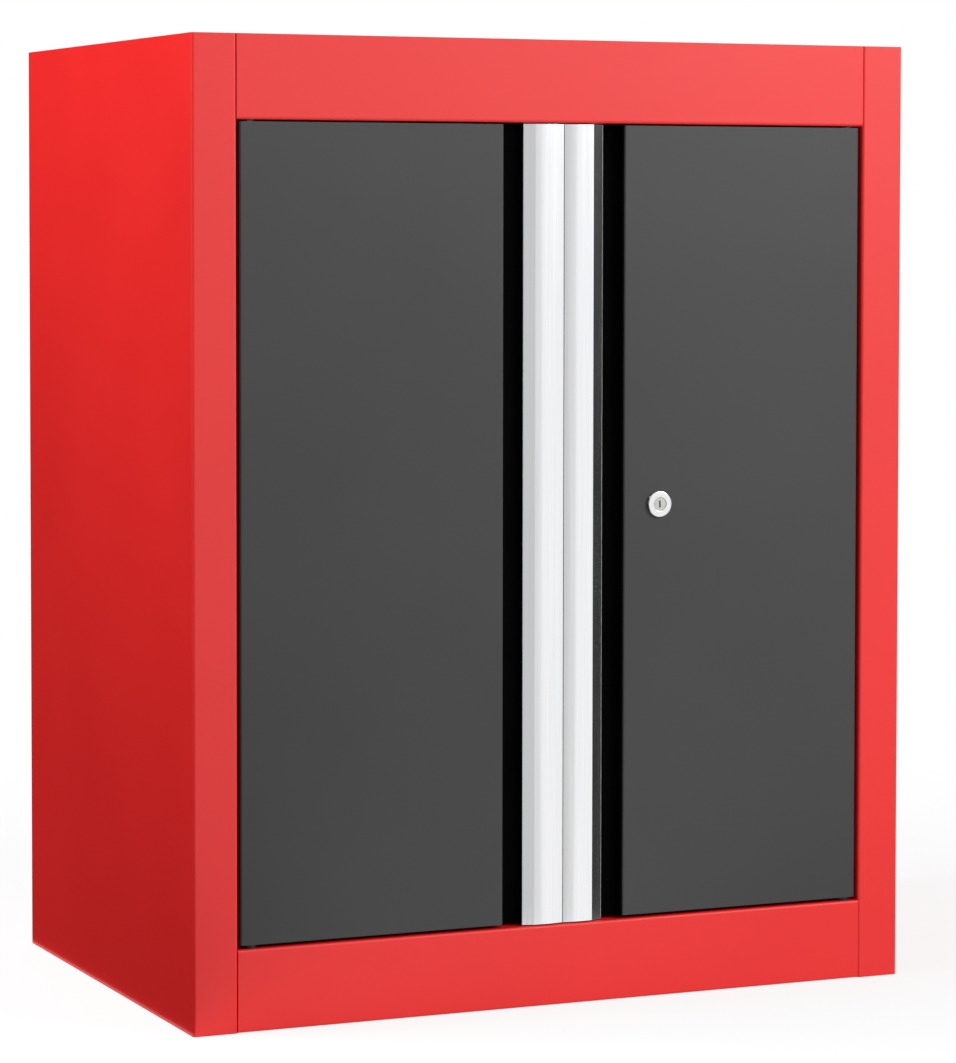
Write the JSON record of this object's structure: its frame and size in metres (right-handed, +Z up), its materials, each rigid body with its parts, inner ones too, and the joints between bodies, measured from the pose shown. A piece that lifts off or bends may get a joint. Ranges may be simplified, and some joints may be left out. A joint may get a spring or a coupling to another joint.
{
  "type": "tool cabinet",
  "caption": "Steel tool cabinet with hinged double doors, full-height aluminium grip strips, cam lock with rods, shelf and levelling feet.",
  "frame": {"origin": "middle of the cabinet's footprint, on the floor", "axes": "+X to the right seen from the front, +Y to the back, +Z up"},
  "size_m": [0.68, 0.461, 0.845],
  "materials": {
    "shell_paint": "satin red powder coat",
    "door_paint": "satin charcoal powder coat",
    "channel_plastic": "matt black",
    "handle_aluminium": "fine satin anodised",
    "rubber": "matt",
    "foot_plastic": "matt black",
    "nylon": "matt black",
    "lock_chrome": "bright",
    "lock_nickel": "satin",
    "shelf_zinc": "zinc plated sheet",
    "zinc_steel": "bright zinc"
  },
  "bodies": {
    "carcass": {"left_side_panel": "shell_paint", "right_side_panel": "shell_paint", "back_panel": "shell_paint", "top_panel": "shell_paint", "top_front_rail": "shell_paint", "bottom_front_rail": "shell_paint", "floor_panel": "shell_paint", "rear_top_stiffener": "shell_paint", "rear_base_stiffener": "shell_paint", "foot_brackets": "zinc_steel", "foot_nuts": "zinc_steel", "left_shelf_standards": "shelf_zinc", "right_shelf_standards": "shelf_zinc", "shelf_clips": "zinc_steel", "shelf": "shelf_zinc", "shelf_stiffener": "shelf_zinc", "hinge_bushes": "nylon", "catch_housings": "channel_plastic", "catch_magnets": "zinc_steel", "catch_screws": "zinc_steel", "door_bumpers": "rubber", "back_rivets": "zinc_steel", "lock_keepers": "zinc_steel"},
    "left_door": {"left_door_skin": "door_paint", "left_door_inner_panel": "door_paint", "left_finger_channel": "channel_plastic", "left_handle": "handle_aluminium", "left_handle_plugs": "handle_aluminium", "left_handle_screws": "zinc_steel", "left_pivot_pins": "zinc_steel", "left_pivot_brackets": "zinc_steel", "left_thrust_washer": "nylon", "left_catch_strike": "zinc_steel", "left_latch_keeper": "zinc_steel"},
    "right_door": {"right_door_skin": "door_paint", "right_door_inner_panel": "door_paint", "right_finger_channel": "channel_plastic", "right_handle": "handle_aluminium", "right_handle_plugs": "handle_aluminium", "right_handle_screws": "zinc_steel", "right_pivot_pins": "zinc_steel", "right_pivot_brackets": "zinc_steel", "right_thrust_washer": "nylon", "right_catch_strike": "zinc_steel", "rod_guides": "nylon", "lock_housing": "lock_chrome", "lock_nut": "zinc_steel"},
    "lock_cylinder": {"lock_plug": "lock_nickel", "lock_cam": "zinc_steel", "cam_screw": "zinc_steel"},
    "upper_rod": {"upper_lock_rod": "zinc_steel"},
    "lower_rod": {"lower_lock_rod": "zinc_steel"},
    "latch": {"latch_bar": "zinc_steel"},
    "front_left_foot_body": {"front_left_foot": "foot_plastic"},
    "front_right_foot_body": {"front_right_foot": "foot_plastic"},
    "rear_left_foot_body": {"rear_left_foot": "foot_plastic"},
    "rear_right_foot_body": {"rear_right_foot": "foot_plastic"}
  },
  "joints": [
    {"name": "left_door_hinge", "type": "hinge", "parent": "carcass", "child": "left_door", "pos_m": [-0.287, -0.221, 0.422], "axis": [0, 0, -1], "range_deg": [0, 110]},
    {"name": "right_door_hinge", "type": "hinge", "parent": "carcass", "child": "right_door", "pos_m": [0.287, -0.221, 0.422], "axis": [0, 0, 1], "range_deg": [0, 110]},
    {"name": "lock_turn", "type": "hinge", "parent": "right_door", "child": "lock_cylinder", "pos_m": [0.097, -0.23, 0.438], "axis": [0, -1, 0], "range_deg": [0, 90]},
    {"name": "upper_rod_slide", "type": "slide", "parent": "right_door", "child": "upper_rod", "axis": [0, 0, 1], "range_m": [0, 0.0198]},
    {"name": "lower_rod_slide", "type": "slide", "parent": "right_door", "child": "lower_rod", "axis": [0, 0, -1], "range_m": [0, 0.0199]},
    {"name": "latch_slide", "type": "slide", "parent": "right_door", "child": "latch", "axis": [-1, 0, 0], "range_m": [0, 0.0199]},
    {"name": "front_left_foot_screw", "type": "slide", "parent": "carcass", "child": "front_left_foot_body", "axis": [0, 0, -1], "range_m": [0, 0.015]},
    {"name": "front_right_foot_screw", "type": "slide", "parent": "carcass", "child": "front_right_foot_body", "axis": [0, 0, -1], "range_m": [0, 0.015]},
    {"name": "rear_left_foot_screw", "type": "slide", "parent": "carcass", "child": "rear_left_foot_body", "axis": [0, 0, -1], "range_m": [0, 0.015]},
    {"name": "rear_right_foot_screw", "type": "slide", "parent": "carcass", "child": "rear_right_foot_body", "axis": [0, 0, -1], "range_m": [0, 0.015]}
  ],
  "couplings": [
    {"joint": "lock_turn", "follows": "upper_rod_slide", "rad_per_m": 79.33},
    {"joint": "lower_rod_slide", "follows": "upper_rod_slide", "ratio": 1},
    {"joint": "latch_slide", "follows": "upper_rod_slide", "ratio": 1}
  ]
}
